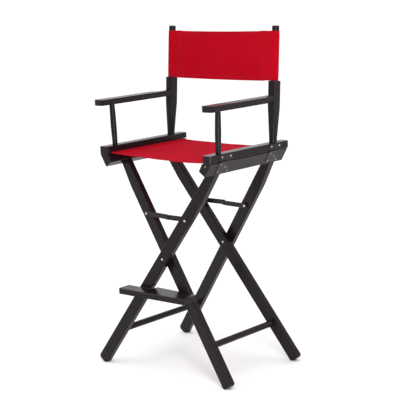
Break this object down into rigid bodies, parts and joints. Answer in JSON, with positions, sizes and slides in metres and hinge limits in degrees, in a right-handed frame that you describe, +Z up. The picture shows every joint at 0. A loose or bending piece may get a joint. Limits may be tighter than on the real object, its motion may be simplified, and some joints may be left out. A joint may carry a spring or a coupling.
{
  "type": "director chair",
  "caption": "Tall folding director chair: crossed wooden leg frames, hinged side frames with arms and back posts, canvas seat and back, folding steel stays, flip-up footrest.",
  "frame": {"origin": "on the floor, under the middle of the bounding box of the open chair", "axes": "+X to the left hand of the sitter, -Y the way the chair faces, +Z up"},
  "size_m": [0.5832, 0.4699, 1.1579],
  "materials": {
    "black_wood": "black paint, satin to gloss, edges eased",
    "black_steel": "black enamelled steel strip",
    "nickel": "nickel-plated screw, rivet and bolt heads",
    "canvas": "red cotton canvas, plain weave, hemmed"
  },
  "bodies": {
    "outer_frame": {"outer_leg_front": "black_wood", "outer_leg_rear": "black_wood", "outer_stretcher": "black_wood", "lower_rail_right": "black_wood", "hinge_lower_leaf_right_front": "black_steel", "hinge_lower_leaf_right_rear": "black_steel", "hinge_pins_right": "black_steel", "hinge_lower_screws_right": "nickel", "rail_end_screws_right": "nickel", "cross_bolts": "nickel", "cross_washers": "black_steel", "cross_nuts": "nickel", "stay_rivets_outer": "nickel", "footrest_hinge_fixed_leaf": "black_steel", "footrest_hinge_pin": "black_steel", "footrest_hinge_leg_screws": "nickel"},
    "inner_frame": {"inner_leg_front": "black_wood", "inner_leg_rear": "black_wood", "inner_stretcher": "black_wood", "lower_rail_left": "black_wood", "hinge_lower_leaf_left_front": "black_steel", "hinge_lower_leaf_left_rear": "black_steel", "hinge_pins_left": "black_steel", "hinge_lower_screws_left": "nickel", "stay_rivets_inner": "nickel"},
    "side_right": {"seat_rail_right": "black_wood", "arm_right": "black_wood", "arm_post_right": "black_wood", "back_post_right": "black_wood", "arm_screw_right": "nickel", "seat_dowel_right": "black_wood", "hinge_upper_leaf_right_front": "black_steel", "hinge_upper_leaf_right_rear": "black_steel", "hinge_upper_screws_right": "nickel", "seat_canvas": "canvas", "back_canvas": "canvas"},
    "side_left": {"seat_rail_left": "black_wood", "arm_left": "black_wood", "arm_post_left": "black_wood", "back_post_left": "black_wood", "arm_screw_left": "nickel", "seat_dowel_left": "black_wood", "hinge_upper_leaf_left_front": "black_steel", "hinge_upper_leaf_left_rear": "black_steel", "hinge_upper_screws_left": "nickel"},
    "stay_front_outer": {"stay_front_outer": "black_steel", "stay_button_front_outer": "nickel"},
    "stay_front_inner": {"stay_front_inner": "black_steel", "stay_button_front_inner": "nickel"},
    "stay_rear_outer": {"stay_rear_outer": "black_steel", "stay_button_rear_outer": "nickel"},
    "stay_rear_inner": {"stay_rear_inner": "black_steel", "stay_button_rear_inner": "nickel"},
    "footrest": {"footrest_board": "black_wood", "footrest_hinge_board_leaf": "black_steel", "footrest_hinge_board_screws": "nickel"}
  },
  "joints": [
    {"name": "fold", "type": "hinge", "parent": "outer_frame", "child": "inner_frame", "pos_m": [0, 0, 0.399], "axis": [0, 1, 0], "range_deg": [0, 62], "deforming": ["seat_canvas", "back_canvas"]},
    {"name": "rail_hinge_right", "type": "hinge", "parent": "outer_frame", "child": "side_right", "pos_m": [0.2566, 0, 0.7448], "axis": [0, 1, 0], "range_deg": [0, 31]},
    {"name": "rail_hinge_left", "type": "hinge", "parent": "inner_frame", "child": "side_left", "pos_m": [-0.2566, 0, 0.7448], "axis": [0, 1, 0], "range_deg": [-31, 0]},
    {"name": "stay_pivot_front_outer", "type": "hinge", "parent": "outer_frame", "child": "stay_front_outer", "pos_m": [0.09912, -0.1302, 0.53847], "axis": [-0.0465, 0.9968, -0.0654], "range_deg": [0, 113.55]},
    {"name": "stay_pivot_front_inner", "type": "hinge", "parent": "inner_frame", "child": "stay_front_inner", "pos_m": [-0.10016, -0.12252, 0.53993], "axis": [0.0465, 0.9968, -0.0654], "range_deg": [-113.55, 0]},
    {"name": "stay_pivot_rear_outer", "type": "hinge", "parent": "outer_frame", "child": "stay_rear_outer", "pos_m": [0.09912, 0.1604, 0.53847], "axis": [0.0465, 0.9968, 0.0654], "range_deg": [0, 113.55]},
    {"name": "stay_pivot_rear_inner", "type": "hinge", "parent": "inner_frame", "child": "stay_rear_inner", "pos_m": [-0.10016, 0.15272, 0.53993], "axis": [-0.0465, 0.9968, 0.0654], "range_deg": [-113.55, 0]},
    {"name": "footrest_flip", "type": "hinge", "parent": "outer_frame", "child": "footrest", "pos_m": [-0.088, -0.18003, 0.2924], "axis": [-0.9989, -0.0466, 0], "range_deg": [0, 90]}
  ],
  "couplings": [
    {"joint": "rail_hinge_right", "follows": "fold", "ratio": 0.5},
    {"joint": "rail_hinge_left", "follows": "fold", "ratio": -0.5},
    {"joint": "stay_pivot_front_outer", "follows": "fold", "ratio": 1.8306},
    {"joint": "stay_pivot_front_inner", "follows": "fold", "ratio": -1.8306},
    {"joint": "stay_pivot_rear_outer", "follows": "fold", "ratio": 1.8306},
    {"joint": "stay_pivot_rear_inner", "follows": "fold", "ratio": -1.8306}
  ]
}
